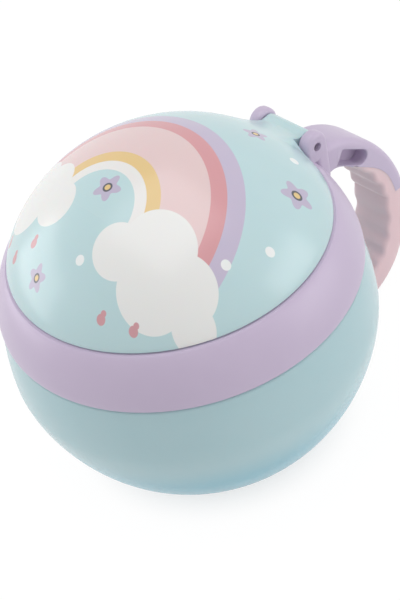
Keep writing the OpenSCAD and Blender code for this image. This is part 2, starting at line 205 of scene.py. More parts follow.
# %% Paper floor
FLOOR_SIZE = 6.0
SHADOW_R = 24.0
CLEAR_R = 43.0
SHADOW_SHINE = 0.6
FLOOR_SHINE = 0.95
GLOW = 1.02
PAPER_GRAIN = 900.0
bpy.ops.mesh.primitive_plane_add(size=FLOOR_SIZE)
floor = bpy.context.object
floor.name = "paper_floor"
material, tree = blank("white_paper")
place = add(tree, "TexCoord", out=3)
grain = add(tree, "TexNoise", {"Vector": place, "Scale": PAPER_GRAIN, "Detail": 3.0})
tone = add(tree, "MapRange", {"Value": grain, "To Min": 0.985, "To Max": 1.0})
paper = add(tree, "BsdfDiffuse", {"Color": add(tree, "CombineColor", {0: tone, 1: tone, 2: tone})})
glow = add(tree, "Emission", {"Color": linear("#ffffff"), "Strength": GLOW})
away = add(tree, "VectorMath", {0: place}, out=1, operation="LENGTH")
# Painted shadow: the glow is turned down close to the container, so the floor is darker there under any
# lamp, and the paper's real shadow shows through as well.
glow_share_with_painted_shadow = add(
    tree, "MapRange",
    {"Value": away, "From Min": SHADOW_R * MM, "From Max": CLEAR_R * MM, "To Min": SHADOW_SHINE,
     "To Max": FLOOR_SHINE},
    interpolation_type="SMOOTHSTEP")
shine = add(tree, "Math", {0: seen_directly(tree), 1: glow_share_with_painted_shadow}, operation="MULTIPLY")
shown = add(tree, "MixShader", {0: shine, 1: paper, 2: glow})
add(tree, "OutputMaterial", {"Surface": shown})
floor.data.materials.append(material)
print("floor", FLOOR_SIZE, "m wide, shining fully from", CLEAR_R, "mm out")

# %% [markdown]
# The next helpers are the hand tools that every piece uses. An operator acts on all that is selected,
# and loading leaves the construction nodes selected, so each helper first makes its own piece the only
# selected one. Points and faces are then chosen in code, by their place or the way they face.

# %% Selecting
def pick(*pieces):
    """Makes these the only selected objects, the first of them active."""
    if bpy.context.object and bpy.context.object.mode != "OBJECT":
        bpy.ops.object.mode_set(mode="OBJECT")
    bpy.ops.object.select_all(action="DESELECT")
    for piece in pieces:
        piece.select_set(True)
    bpy.context.view_layer.objects.active = pieces[0]


def edit_all(piece):
    """Opens the piece in edit mode with everything selected."""
    pick(piece)
    bpy.ops.object.mode_set(mode="EDIT")
    bpy.ops.mesh.select_mode(type="VERT")
    bpy.ops.mesh.select_all(action="SELECT")


def choose(piece, wanted, kind="vertices"):
    """Opens the piece in edit mode with only the vertices or faces selected that are wanted."""
    pick(piece)
    bpy.ops.object.mode_set(mode="EDIT")
    bpy.ops.mesh.select_mode(type="FACE" if kind == "polygons" else "VERT")
    bpy.ops.mesh.select_all(action="DESELECT")
    bpy.ops.object.mode_set(mode="OBJECT")
    for part in getattr(piece.data, kind):
        part.select = wanted(part)
    bpy.ops.object.mode_set(mode="EDIT")


def settle():
    """Puts the active object's place into its mesh, as the construction nodes have it."""
    bpy.ops.object.transform_apply(location=True, rotation=True, scale=True)


print("selected after loading:", len(bpy.context.selected_objects), "objects")

# %% Finishing
MERGE = 0.0005
MERGE_CUTS = 0.002


def modify(piece, kind, **settings):
    """Adds a modifier with its settings and applies it."""
    pick(piece)
    bpy.ops.object.modifier_add(type=kind)
    modifier = piece.modifiers[-1]
    for name, value in settings.items():
        setattr(modifier, name, value)
    bpy.ops.object.modifier_apply(modifier=modifier.name)


def combine(piece, *others, operation="UNION"):
    """Joins the other solids to the piece, or takes them from it, and deletes them."""
    for other in others:
        modify(piece, "BOOLEAN", operation=operation, object=other, solver="EXACT")
        bpy.data.objects.remove(other)
    return piece


def clean(piece, merge=MERGE):
    """Merges doubled points and turns all faces outwards. The distance is in millimetres."""
    edit_all(piece)
    bpy.ops.mesh.remove_doubles(threshold=merge * MM)
    bpy.ops.mesh.normals_make_consistent(inside=False)
    bpy.ops.object.mode_set(mode="OBJECT")


def smooth(piece, angle=35):
    """Smooth shading that keeps the edges sharper than the angle."""
    pick(piece)
    bpy.ops.object.shade_smooth_by_angle(angle=math.radians(angle))


def round_edges(piece, width, segments=3, angle=40):
    """Rounds the edges that are sharper than the angle."""
    modify(piece, "BEVEL", width=width * MM, segments=segments, limit_method="ANGLE",
           angle_limit=math.radians(angle), use_clamp_overlap=True)


def report(piece):
    """Prints how many points a piece has and how big it is."""
    size = [round(side / MM, 2) for side in piece.dimensions]
    print(piece.name, len(piece.data.vertices), "points,", size, "mm")


print("points closer than", MERGE, "mm are merged, and", MERGE_CUTS, "mm after cuts")

# %% [markdown]
# The bowl is blown-looking but moulded: a flat foot, a full belly, a shoulder and a threaded neck, all
# with the same thin wall. Because it is see-through, the inside has to be modelled as well as the
# outside. It could be a sphere that is cut and thickened, but its curve isn't a circle, so the whole
# wall is drawn as one closed outline and turned: one point is extruded along the outline and spun
# about the container's axis, as on a lathe.

# %% Outlines and the lathe
def arc(y, z, r, start, end, steps=6):
    """Points of an arc about (y, z), its angles in degrees."""
    angles = [math.radians(start + (end - start) * i / steps) for i in range(steps + 1)]
    return [(y + r * math.cos(a), z + r * math.sin(a)) for a in angles]


def quarter(r0, z0, dr, dz, fullness, steps=32):
    """A quarter curve from (r0 + dr, z0) to (r0, z0 + dz). A fullness of 2 makes it an ellipse."""
    angles = [math.pi / 2 * i / steps for i in range(steps + 1)]
    return [
        (r0 + dr * max(0.0, math.cos(a)) ** (2 / fullness), z0 + dz * math.sin(a) ** (2 / fullness))
        for a in angles
    ]


def turned(name, outline, steps=144):
    """A solid of revolution whose outline is a list of (radius, height) in millimetres."""
    r, z = outline[0]
    bpy.ops.mesh.primitive_plane_add(size=MM, location=(r * MM, 0, z * MM))
    piece = bpy.context.object
    piece.name = name
    pick(piece)
    settle()
    edit_all(piece)
    bpy.ops.mesh.merge(type="CENTER")
    for next_r, next_z in outline[1:]:
        move = ((next_r - r) * MM, 0, (next_z - z) * MM)
        bpy.ops.mesh.extrude_region_move(TRANSFORM_OT_translate={"value": move})
        r, z = next_r, next_z
    bpy.ops.mesh.select_all(action="SELECT")
    bpy.ops.mesh.remove_doubles(threshold=0.001 * MM)
    bpy.ops.mesh.spin(steps=steps, angle=2 * math.pi, center=(0, 0, 0), axis=(0, 0, 1))
    bpy.ops.object.mode_set(mode="OBJECT")
    clean(piece)
    return piece


print("a rounding of 1 mm:", [(round(r, 2), round(z, 2)) for r, z in arc(0, 0, 1, 0, 90, 3)])

# %% Bowl
FOOT_R = 26.5
BELLY_Z = 35.6
BELLY_FULLNESS = 1.56
SHOULDER_Z = 51.8
BOWL_WALL = 2.0
BASE = 3.0
NECK_WALL = 2.2
FOOT_HOLLOW = 0.5
HOLLOW_IN = 5.0
RING_IN = 4.2
EDGE = 1.0
NECK_FILLET = 0.5
BELLY_OUT = 1.5
DECK_IN = 4.0
shoulder_r = belly_r - BELLY_OUT
neck_r = mouth_r + DECK_IN


def upper_wall(inset, top, steps=14):
    """The wall between the belly and the shoulder, inset from the outside."""
    return [
        (belly_r - inset - (belly_r - shoulder_r) * (i / steps) ** 2,
         BELLY_Z + (top - BELLY_Z) * i / steps)
        for i in range(1, steps + 1)
    ]


shelf_z = SHOULDER_Z - BOWL_WALL
shelf_r = shoulder_r - BOWL_WALL - EDGE
neck_in_r = neck_r - NECK_WALL
outside = quarter(FOOT_R, BELLY_Z, belly_r - FOOT_R, -BELLY_Z, BELLY_FULLNESS)[::-1]
inside = quarter(FOOT_R - BOWL_WALL, BELLY_Z, belly_r - FOOT_R, BASE - BELLY_Z, BELLY_FULLNESS)
bowl_outline = (
    [(0, FOOT_HOLLOW), (FOOT_R - HOLLOW_IN, FOOT_HOLLOW)]
    + arc(FOOT_R - RING_IN, FOOT_HOLLOW, FOOT_HOLLOW, 180, 270, 3)[1:]
    + outside
    + upper_wall(0, SHOULDER_Z - EDGE)
    + arc(shoulder_r - EDGE, SHOULDER_Z - EDGE, EDGE, 15, 90)
    + [(neck_r + NECK_FILLET, SHOULDER_Z)]
    + arc(neck_r + NECK_FILLET, SHOULDER_Z + NECK_FILLET, NECK_FILLET, 270, 180, 3)[1:]
    + arc(neck_r - EDGE, rim_z - EDGE, EDGE, 0, 90)
    + arc(neck_in_r + EDGE, rim_z - EDGE, EDGE, 90, 180)
    + [(neck_in_r, shelf_z)]
    + arc(shelf_r, shelf_z - EDGE, EDGE, 90, 15)
    + upper_wall(BOWL_WALL, shelf_z - EDGE)[::-1]
    + inside
    + [(0, BASE)]
)
bowl = turned("bowl_wall", bowl_outline)
report(bowl)

# %% [markdown]
# A screw thread that lets go after a quarter turn has four starts. One lug is a small block that is
# extruded step by step, each step turned a little about the axis and lifted, and the four copies are
# joined to the neck. The collar has the same lugs inside, so the lug is a helper with two radii.

# %% Thread lugs
LEAD = 24.0
LUG_H = 1.8
LUG_TAPER = 0.35
LUG_ANGLE = 52.5
LUG_STEPS = 14
LUG_START = 0.8
LUG_ROOT = 0.3
LUG_OUT = 1.15
LUG_PLAY = 0.35
LUG_LIFT = 0.45
LUG_EDGE = 0.25


def lugs(name, r_root, r_tip, z):
    """Four helical lugs between two radii that start at height z."""
    bpy.ops.mesh.primitive_cube_add(size=MM)
    piece = bpy.context.object
    piece.name = name
    piece.scale = (abs(r_tip - r_root), LUG_START, LUG_H)
    piece.location = ((r_root + r_tip) / 2 * MM, 0, (z + LUG_H / 2) * MM)
    pick(piece)
    settle()
    choose(piece, lambda vertex: (vertex.co.x - (r_root + r_tip) / 2 * MM) * (r_tip - r_root) > 0)
    bpy.ops.transform.resize(value=(1, 1, 1 - 2 * LUG_TAPER / LUG_H),
                             center_override=(0, 0, (z + LUG_H / 2) * MM))
    bpy.ops.object.mode_set(mode="OBJECT")
    choose(piece, lambda face: face.normal.y > 0.9, "polygons")
    turn = math.radians(LUG_ANGLE / LUG_STEPS)
    for _ in range(LUG_STEPS):
        rise = (0, 0, LEAD * LUG_ANGLE / LUG_STEPS / 360 * MM)
        bpy.ops.mesh.extrude_region_move(TRANSFORM_OT_translate={"value": rise})
        bpy.ops.transform.rotate(value=-turn, orient_axis="Z", center_override=(0, 0, 0))
    bpy.ops.object.mode_set(mode="OBJECT")
    clean(piece)
    round_edges(piece, LUG_EDGE, 2, 50)
    copies = []
    for quarter_turn in (1, 2, 3):
        copy = piece.copy()
        copy.data = piece.data.copy()
        bpy.context.collection.objects.link(copy)
        copy.rotation_euler = (0, 0, quarter_turn * math.pi / 2)
        copies.append(copy)
        pick(copy)
        settle()
    pick(piece, *copies)
    bpy.ops.object.join()
    return piece


lug_z = collar_z + LUG_LIFT
combine(bowl, lugs("neck_lugs", neck_r - LUG_ROOT, neck_r + LUG_OUT, lug_z + LUG_H + LUG_PLAY))
smooth(bowl)
report(bowl)

# %% [markdown]
# The collar, its hinge knuckles and the handle's rigid arm come out of one mould, so they are one
# piece here as well. A bevelled tube would do for a straight band, but this one's outside curves in
# all the way up to the edge of the lid, so it is turned like the bowl.

# %% Collar band
COLLAR_FULLNESS = 1.4
LEDGE = 0.2
LIP = 0.5
LIP_DROP = 0.3
INNER_EDGE = 0.3
MOUTH_EDGE = 0.5
THREAD_ROOM = 1.5
collar_in_r = neck_r + THREAD_ROOM
top_r = lid_r + LEDGE
band_curve = quarter(top_r, collar_z + EDGE, band_r - top_r, deck_z - collar_z - EDGE,
                     COLLAR_FULLNESS)
band_outline = (
    [(collar_in_r, collar_z + INNER_EDGE), (collar_in_r + INNER_EDGE, collar_z)]
    + arc(band_r - LIP, collar_z - LIP_DROP + LIP, LIP, -90, 0)
    + band_curve[1:-2]
    + [(top_r + 0.12, deck_z - 0.15), (top_r - 0.15, deck_z)]
    + arc(mouth_r + MOUTH_EDGE, deck_z - MOUTH_EDGE, MOUTH_EDGE, 90, 180, 4)
    + arc(mouth_r + INNER_EDGE, deck_under + INNER_EDGE, INNER_EDGE, 180, 270, 3)
    + [(collar_in_r, deck_under), (collar_in_r, collar_z + INNER_EDGE)]
)
collar = turned("collar_with_handle", band_outline)
combine(collar, lugs("collar_lugs", collar_in_r + LUG_ROOT, neck_r + LUG_PLAY, lug_z))
report(collar)

# %% [markdown]
# Each hinge knuckle is a rounded barrel that stands on a web. A cylinder and a block could be joined,
# but they would leave a seam. One side view holds both, so it is drawn, extruded along the pin and
# rounded at the edges. The bore for the pin is then cut through both knuckles at once.

# %% Drawn blocks and rods
def drawn(name, outline, x0, x1):
    """A bar along X, from x0 to x1, whose outline is a list of (y, z) in millimetres."""
    y, z = outline[0]
    bpy.ops.mesh.primitive_plane_add(size=MM, location=(x0 * MM, y * MM, z * MM))
    piece = bpy.context.object
    piece.name = name
    pick(piece)
    settle()
    edit_all(piece)
    bpy.ops.mesh.merge(type="CENTER")
    for next_y, next_z in outline[1:]:
        move = (0, (next_y - y) * MM, (next_z - z) * MM)
        bpy.ops.mesh.extrude_region_move(TRANSFORM_OT_translate={"value": move})
        y, z = next_y, next_z
    bpy.ops.mesh.select_all(action="SELECT")
    bpy.ops.mesh.edge_face_add()
    bpy.ops.mesh.extrude_region_move(TRANSFORM_OT_translate={"value": ((x1 - x0) * MM, 0, 0)})
    bpy.ops.object.mode_set(mode="OBJECT")
    clean(piece)
    return piece


def rod(name, y, z, r, x0, x1, sides=64):
    """A round bar along X."""
    bpy.ops.mesh.primitive_cylinder_add(
        vertices=sides, radius=r * MM, depth=(x1 - x0) * MM,
        location=((x0 + x1) / 2 * MM, y * MM, z * MM), rotation=(0, math.pi / 2, 0))
    piece = bpy.context.object
    piece.name = name
    pick(piece)
    settle()
    return piece


print("blocks and rods lie along the pin, which is at", round(hinge_y, 2), round(hinge_z, 2))

# %% Hinge knuckles
KNUCKLE_R = 3.9
BARREL_R = 2.95
WEB_TAPER = 0.7
TONGUE_HALF = 7.2
HINGE_GAP = 0.3
KNUCKLE_W = 3.8
PIN_R = 1.25
KNUCKLE_ROUND = 1.2
WEB_ROOT = 0.4
BORE_SIDES = 40
OVER = 1.0
knuckle_x0 = TONGUE_HALF + HINGE_GAP
knuckle_x1 = knuckle_x0 + KNUCKLE_W
web_z = collar_z + (deck_z - collar_z) / 3
knuckle_outline = (
    [(collar_in_r + WEB_ROOT, web_z), (hinge_y + KNUCKLE_R - WEB_TAPER, web_z)]
    + arc(hinge_y, hinge_z, KNUCKLE_R, 0, 180, 24)
    + [(hinge_y - KNUCKLE_R, deck_under + WEB_ROOT), (collar_in_r + WEB_ROOT, deck_under + WEB_ROOT)]
)
for side in (-1, 1):
    start, end = sorted((side * knuckle_x0, side * knuckle_x1))
    knuckle = drawn("knuckle", knuckle_outline, start, end)
    round_edges(knuckle, KNUCKLE_ROUND, 5)
    combine(collar, knuckle)
bore_end = knuckle_x1 + OVER
bore = rod("pin_bore", hinge_y, hinge_z, PIN_R, -bore_end, bore_end, BORE_SIDES)
combine(collar, bore, operation="DIFFERENCE")
report(collar)

# %% [markdown]
# The handle is a bar that bends out and down from the collar in a full curve. A plane with rounded
# corners is its section. It is extruded from place to place along the bend, turned a little each time.
# The bend's inside and outside are two curves, and a section stands square between them. A bevelled
# curve would be quicker, but its section couldn't change from rigid arm to ribbed grip.

# %% Sweeping a section
def swept(name, stations, inner_round=0.0, outer_round=0.0):
    """A bar drawn through stations of (y, z, tilt, width, depth). The tilt is the angle between straight
    up and the bar's outer side, in degrees, and the rounds are the radii of its long edges."""
    y, z, tilt, width, depth = stations[0]
    bpy.ops.mesh.primitive_plane_add(size=MM)
    piece = bpy.context.object
    piece.name = name
    pick(piece)
    piece.scale = (width, depth, 1)
    settle()
    for side, radius in ((-1, inner_round), (1, outer_round)):
        if radius:
            choose(piece, lambda vertex: abs(vertex.co.y - side * depth / 2 * MM) < 1e-7)
            bpy.ops.mesh.bevel(offset=radius * MM, segments=6, affect="VERTICES")
            bpy.ops.object.mode_set(mode="OBJECT")
    piece.rotation_euler = (math.radians(90 - tilt), 0, 0)
    piece.location = (0, y * MM, z * MM)
    pick(piece)
    settle()
    edit_all(piece)
    for next_y, next_z, next_tilt, next_width, next_depth in stations[1:]:
        centre = (0, next_y * MM, next_z * MM)
        move = (0, (next_y - y) * MM, (next_z - z) * MM)
        bpy.ops.mesh.extrude_region_move(TRANSFORM_OT_translate={"value": move})
        bpy.ops.transform.rotate(
            value=math.radians(next_tilt - tilt), orient_axis="X", center_override=centre)
        frame_now = Matrix.Rotation(math.radians(90 - next_tilt), 3, "X")
        bpy.ops.transform.resize(
            value=(next_width / width, next_depth / depth, 1), center_override=centre,
            orient_type="GLOBAL", orient_matrix=frame_now, orient_matrix_type="GLOBAL")
        y, z, tilt, width, depth = next_y, next_z, next_tilt, next_width, next_depth
    bpy.ops.object.mode_set(mode="OBJECT")
    clean(piece)
    return piece


print("a section with a tilt of 0 faces up, and one with a tilt of 90 faces out along Y")

# %% Handle bend
HANDLE_T = 8.4
HANDLE_W = 13.8
HANDLE_ROUND = 2.2
GRIP_ROUND = 1.6
ARM_EDGE = 0.8
HANDLE_REACH = 24.7
HANDLE_MID_Z = 31.0
HANDLE_DROP = 3.6
HANDLE_LIFT = 0.5
TOP_FULLNESS = 1.55
LOW_FULLNESS = 2.35
HANDLE_ROOT = 3.4
handle_y = band_r + HANDLE_ROOT
handle_top = deck_z - HANDLE_DROP - HANDLE_MID_Z
handle_low = HANDLE_MID_Z - HANDLE_LIFT


def bend_point(share, angle):
    """A point of the bend. The share is 0 on its inside and 1 on its outside, the angle in degrees."""
    a = math.radians(angle)
    reach = HANDLE_REACH - (1 - share) * HANDLE_T
    tall = (handle_top if angle >= 0 else handle_low) - (1 - share) * HANDLE_T
    fullness = TOP_FULLNESS if angle >= 0 else LOW_FULLNESS
    height = math.copysign(abs(math.sin(a)) ** (2 / fullness), angle)
    return handle_y + reach * max(0.0, math.cos(a)) ** (2 / fullness), HANDLE_MID_Z + tall * height


def station(angle, inner=0.0, outer=HANDLE_T, width=HANDLE_W):
    """The section at an angle of the bend, between two depths from the bend's inside."""
    inside = bend_point(0, angle)
    outside = bend_point(1, angle)
    length = math.dist(inside, outside)
    out_y, out_z = ((b - a) / length for a, b in zip(inside, outside))
    middle = (inner + outer) / 2
    tilt = math.degrees(math.atan2(out_y, out_z))
    return inside[0] + out_y * middle, inside[1] + out_z * middle, tilt, width, outer - inner


def spread(start, end, steps):
    """Evenly spaced values from start to end."""
    return [start + (end - start) * i / steps for i in range(steps + 1)]


print("bend from", [round(v, 1) for v in bend_point(1, 90)], "to", [round(v, 1) for v in bend_point(1, 0)])

# %% Handle arm
GRIP_ANGLE = 60.0
GRIP_FULL = 21.0
SIDE_START = 0.5
STRIP_ANGLE = 4.0
BURIED = 1.5
ROOM_OVER = 2.0
ROOM_W = 20.0


def side_end(angle):
    """The depth at which the soft side ends, from the inner edge above to halfway out below."""
    share = min(1.0, max(0.0, (GRIP_ANGLE - angle) / (GRIP_ANGLE - GRIP_FULL)))
    return SIDE_START + (HANDLE_T / 2 - SIDE_START) * share * share * (3 - 2 * share)


root = station(90)
buried = (collar_in_r + BURIED, root[1], root[2], HANDLE_W, HANDLE_T)
arm_stations = [buried, root] + [station(a) for a in spread(88, STRIP_ANGLE, 42)]
arm = swept("handle_arm", arm_stations, ARM_EDGE, HANDLE_ROUND)
room_angles = spread(GRIP_ANGLE, STRIP_ANGLE - 1, 24)
grip_room = [station(a, -ROOM_OVER, side_end(a), ROOM_W) for a in room_angles]
combine(arm, swept("grip_room", grip_room), operation="DIFFERENCE")
report(arm)

# %% [markdown]
# The pocket in each side of the arm is square towards the collar and round towards the grip. Its side
# view is drawn and extruded, and the block is taken from the arm. An inset of the arm's own faces
# would bend with them, and the real pocket is straight.

# %% Handle pockets
POCKET_L = 11.2
POCKET_H = 4.6
POCKET_DEPTH = 4.4
POCKET_CORNER = 0.6
POCKET_EDGE = 0.35
POCKET_SHARE = 0.38
POCKET_ANGLE = 62
POCKET_SLOPE = -34
NEAR = 0.01
pocket_y, pocket_z = bend_point(POCKET_SHARE, POCKET_ANGLE)
pocket_turn = math.radians(POCKET_SLOPE)
flat_outline = (
    arc(POCKET_L / 2 - POCKET_H / 2, 0, POCKET_H / 2, -90, 90, 16)
    + arc(-POCKET_L / 2 + POCKET_CORNER, POCKET_H / 2 - POCKET_CORNER, POCKET_CORNER, 90, 180, 4)
    + arc(-POCKET_L / 2 + POCKET_CORNER, -POCKET_H / 2 + POCKET_CORNER, POCKET_CORNER, 180, 270, 4)
)
pocket_outline = [
    (pocket_y + y * math.cos(pocket_turn) - z * math.sin(pocket_turn),
     pocket_z + y * math.sin(pocket_turn) + z * math.cos(pocket_turn))
    for y, z in flat_outline
]
half_w = HANDLE_W / 2
for start, end in ((half_w - POCKET_DEPTH, half_w + OVER), (-half_w - OVER, POCKET_DEPTH - half_w)):
    combine(arm, drawn("pocket", pocket_outline, start, end), operation="DIFFERENCE")


def on_pocket_edge(vertex):
    """True for the points round a pocket's mouth."""
    y, z = vertex.co.y / MM - pocket_y, vertex.co.z / MM - pocket_z
    along = y * math.cos(pocket_turn) + z * math.sin(pocket_turn)
    across = z * math.cos(pocket_turn) - y * math.sin(pocket_turn)
    near = abs(along) < POCKET_L / 2 + NEAR and abs(across) < POCKET_H / 2 + NEAR
    return near and abs(abs(vertex.co.x / MM) - half_w) < NEAR


choose(arm, on_pocket_edge)
bpy.ops.mesh.bevel(offset=POCKET_EDGE * MM, segments=3)
bpy.ops.object.mode_set(mode="OBJECT")
report(arm)

# %% [markdown]
# Below the arm's end, the rigid plastic goes on as a narrow strip that lies flush in the outside of the
# grip, on a web that the soft plastic is moulded round.

# %% Strip and web, and the finished moulding
GRIP_END = -74.0
STRIP_W = 5.2
STRIP_T = 1.6
WEB_W = 5.0
GRIP_SKIN = 2.4
strip_angles = spread(STRIP_ANGLE + 2, GRIP_END + 2, 34)
strip = swept("strip", [station(a, HANDLE_T - STRIP_T, HANDLE_T, STRIP_W) for a in strip_angles])
web_angles = spread(GRIP_ANGLE + 3, GRIP_END + 2, 60)
web = swept("web", [station(a, GRIP_SKIN, HANDLE_T - STRIP_T / 2, WEB_W) for a in web_angles])
combine(arm, strip, web)
combine(collar, arm)
clean(collar, MERGE_CUTS)
smooth(collar)
report(collar)

# %% [markdown]
# The grip is a soft skin moulded round the web: ribbed on the inside for the fingers, smooth outside.
# It is the same bar as the arm, drawn on to a closed tip. Each rib is a shallow hollow between two
# ridges, so the bar's inner side moves in and out a little from section to section. The room for the
# arm, the strip and the web is then taken from it, a hair wider, which leaves a fine parting line.

# %% Grip
RIB_COUNT = 6
RIB_DEPTH = 0.7
RIB_TOP = 44.0
RIB_END = -56.0
PARTING = 0.05
TIP_END = -86.0
TIP_STOP = 0.25
TIP_W = 0.35


def rib(angle):
    """How far the grip's inner side lies back at an angle of the bend."""
    if not RIB_END < angle < RIB_TOP:
        return 0.0
    return RIB_DEPTH * math.sin(math.pi * RIB_COUNT * (RIB_TOP - angle) / (RIB_TOP - RIB_END)) ** 2


def tip_station(angle):
    """A section of the grip's closing tip, which shrinks towards its end."""
    share = (GRIP_END - angle) / (GRIP_END - TIP_END)
    size = math.sqrt(max(0.0, 1 - share ** 3))
    middle = HANDLE_T / 2
    width = HANDLE_W * (TIP_W + (1 - TIP_W) * size)
    return station(angle, middle - middle * size, middle + middle * size, width)


grip_stations = [station(a, rib(a), HANDLE_T) for a in spread(GRIP_ANGLE, GRIP_END, 118)]
grip_stations += [tip_station(a) for a in spread(GRIP_END, TIP_END + TIP_STOP, 16)[1:]]
grip = swept("soft_grip", grip_stations, GRIP_ROUND, HANDLE_ROUND)
room_top = GRIP_ANGLE + 0.5
room_out = HANDLE_T + ROOM_OVER
cap_room = [station(a, side_end(a) + PARTING, room_out, ROOM_W)
            for a in spread(room_top, STRIP_ANGLE, 24)]
strip_room = [station(a, HANDLE_T - STRIP_T - PARTING, room_out, STRIP_W + 2 * PARTING)
              for a in spread(STRIP_ANGLE + 2, GRIP_END + 2 - PARTING, 34)]
web_room = [station(a, GRIP_SKIN, HANDLE_T - STRIP_T / 2, WEB_W)
            for a in spread(room_top, GRIP_END + 2, 60)]
rooms = [swept("cap_room", cap_room), swept("strip_room", strip_room), swept("web_room", web_room)]
combine(grip, *rooms, operation="DIFFERENCE")
smooth(grip)
report(grip)

# %% [markdown]
# The lid is a thin dome with a tongue at the back, which turns between the knuckles. On the real lid the
# tongue grows out of the dome without a crease. Two solids joined by a boolean would meet in a sharp
# line, so the tongue is raised from the dome's own surface: the faces near the hinge are divided, more
# finely along the tongue's edges, and each point is lifted to a soft blend of the dome's height and the
# tongue's. The upright faces at the rim are then extruded to the hinge.

# %% Lid dome
DOME_FULLNESS = 1.48
LID_WALL = 2.2
LID_RIM = 0.4
dome_h = dome_top - seam_z


def dome_line(inset, steps):
    """The dome's curve from its rim to its top, inset from the outside."""
    angles = [math.pi / 2 * (1 - i / steps) for i in range(steps + 1)]
    return [
        ((lid_r - inset) * math.sin(a),
         seam_z + (dome_h - inset) * max(0.0, math.cos(a)) ** DOME_FULLNESS)
        for a in angles
    ]


rim = [(0, seam_z), (lid_r - LID_RIM, seam_z), (lid_r - LID_RIM * 0.3, seam_z + LID_RIM * 0.3)]
above_rim = [point for point in dome_line(0, 56) if point[1] > seam_z + LID_RIM]
lid = turned("lid_dome", rim + above_rim)
report(lid)

# %% Lid tongue
TONGUE_EDGE = 1.2
EDGE_DROP = 0.35
EDGE_CUTS = (-1.2, -0.9, -0.6, -0.3, 0.3, 0.8)
BLEND = 7.0
BLEND_HALF = 13.0
BLEND_FROM = 28.0
tongue_top = hinge_z + BARREL_R


def near_tongue(x, y, z):
    """True where the dome's surface takes part in the tongue's blend."""
    return abs(x) < BLEND_HALF and y > BLEND_FROM and z > seam_z + LID_RIM + NEAR


def blended(x, y):
    """The height of the dome with the tongue growing out of it."""
    across = min(1.0, math.hypot(x, y) / lid_r)
    dome = seam_z + dome_h * math.sqrt(1 - across * across) ** DOME_FULLNESS
    tongue = tongue_top - EDGE_DROP * max(0.0, abs(x) - TONGUE_HALF + TONGUE_EDGE) ** 2
    near = max(0.0, BLEND - abs(dome - tongue)) / BLEND
    return max(dome, tongue) + near * near * BLEND / 4


choose(lid, lambda face: near_tongue(*(face.center / MM)), "polygons")
bpy.ops.mesh.subdivide(number_cuts=2)
for line in [TONGUE_HALF + step for step in EDGE_CUTS]:
    for side in (-1, 1):
        bpy.ops.object.mode_set(mode="OBJECT")
        choose(lid, lambda face: near_tongue(*(face.center / MM)), "polygons")
        bpy.ops.mesh.bisect(plane_co=(side * line * MM, 0, 0), plane_no=(1, 0, 0))
bpy.ops.object.mode_set(mode="OBJECT")
for vertex in lid.data.vertices:
    x, y, z = vertex.co / MM
    if near_tongue(x, y, z):
        vertex.co.z = blended(x, y) * MM
report(lid)

# %% Lid tongue's end
def on_tongue_end(face):
    """True for the upright faces at the rim that the tongue leaves from."""
    x, y, z = face.center / MM
    return abs(x) < TONGUE_HALF and y > lid_r - 2 and face.normal.y > 0.8 and z > seam_z + 1


choose(lid, on_tongue_end, "polygons")
bpy.ops.mesh.extrude_region_move(TRANSFORM_OT_translate={"value": (0, 1 * MM, 0)})
bpy.ops.transform.resize(value=(1, 0, 1), center_override=(0, hinge_y * MM, 0))
bpy.ops.object.mode_set(mode="OBJECT")
clean(lid)
report(lid)

# %% [markdown]
# The tongue ends in a barrel round the pin. The inside of the dome, the notches for the knuckles and the
# pin's bore are cut last, so that their edges are clean.

# %% Lid barrel, hollow and notches
BORE_R = 1.35
BORE_HALF = 9.0
BARREL_EDGE = 0.5
HOLLOW_DROP = 3.0
NOTCH_GAP = 0.35
NOTCH_BACK = 6.0
NOTCH_OVER = 2.0
barrel = rod("barrel", hinge_y, hinge_z, BARREL_R, -TONGUE_HALF, TONGUE_HALF, 96)
round_edges(barrel, BARREL_EDGE, 3)
combine(lid, barrel)
hollow_low = seam_z - HOLLOW_DROP
hollow_outline = [(0, hollow_low), (lid_r - LID_WALL, hollow_low)] + dome_line(LID_WALL, 48)
hollow = turned("dome_hollow", hollow_outline)
bore = rod("bore", hinge_y, hinge_z, BORE_R, -BORE_HALF, BORE_HALF, BORE_SIDES)
combine(lid, hollow, bore, operation="DIFFERENCE")
notch_y = hinge_y - KNUCKLE_R - NOTCH_GAP
notch_end = hinge_y + NOTCH_BACK
notch_low = seam_z - NOTCH_OVER
notch_high = tongue_top + NOTCH_OVER
notch_outline = [(notch_y, notch_low), (notch_y, notch_high), (notch_end, notch_high),
                 (notch_end, notch_low)]
for side in (-1, 1):
    start, end = sorted((side * TONGUE_HALF, side * (knuckle_x1 + HINGE_GAP)))
    combine(lid, drawn("notch", notch_outline, start, end), operation="DIFFERENCE")
clean(lid, MERGE_CUTS)
smooth(lid)
report(lid)

# %% [markdown]
# Eight soft flaps close the mouth. One wedge is drawn, given its thickness, softened edges and a round
# roll where it hinges. An array would repeat it as one piece, but each flap bends by itself, so it is
# copied round the axis with its own mesh.

# %% Flaps
FLAP_RIM = 7.1
FLAP_T = 1.2
FLAP_SLIT = 0.5
FLAP_EDGE = 0.12
FLAPS = 8
POINT_HALF = 0.1
ring_low = low("flap_ring")[2]
flap_z = (ring_low + deck_under) / 2
flap_reach = mouth_r - FLAP_RIM
half_angle = math.pi / FLAPS
cut = FLAP_SLIT / 2 / math.cos(half_angle)
point_r = 2 * FLAP_SLIT
hinge_half = flap_reach * math.tan(half_angle) - cut
point_half = point_r * math.tan(half_angle) - cut
point_half = max(POINT_HALF, point_half)
wedge = [(point_r, point_half), (flap_reach, hinge_half), (flap_reach, -hinge_half),
         (point_r, -point_half)]
x, y = wedge[0]
bpy.ops.mesh.primitive_plane_add(size=MM, location=(x * MM, y * MM, (flap_z - FLAP_T / 2) * MM))
flap = bpy.context.object
flap.name = "soft_flap_1"
pick(flap)
settle()
edit_all(flap)
bpy.ops.mesh.merge(type="CENTER")
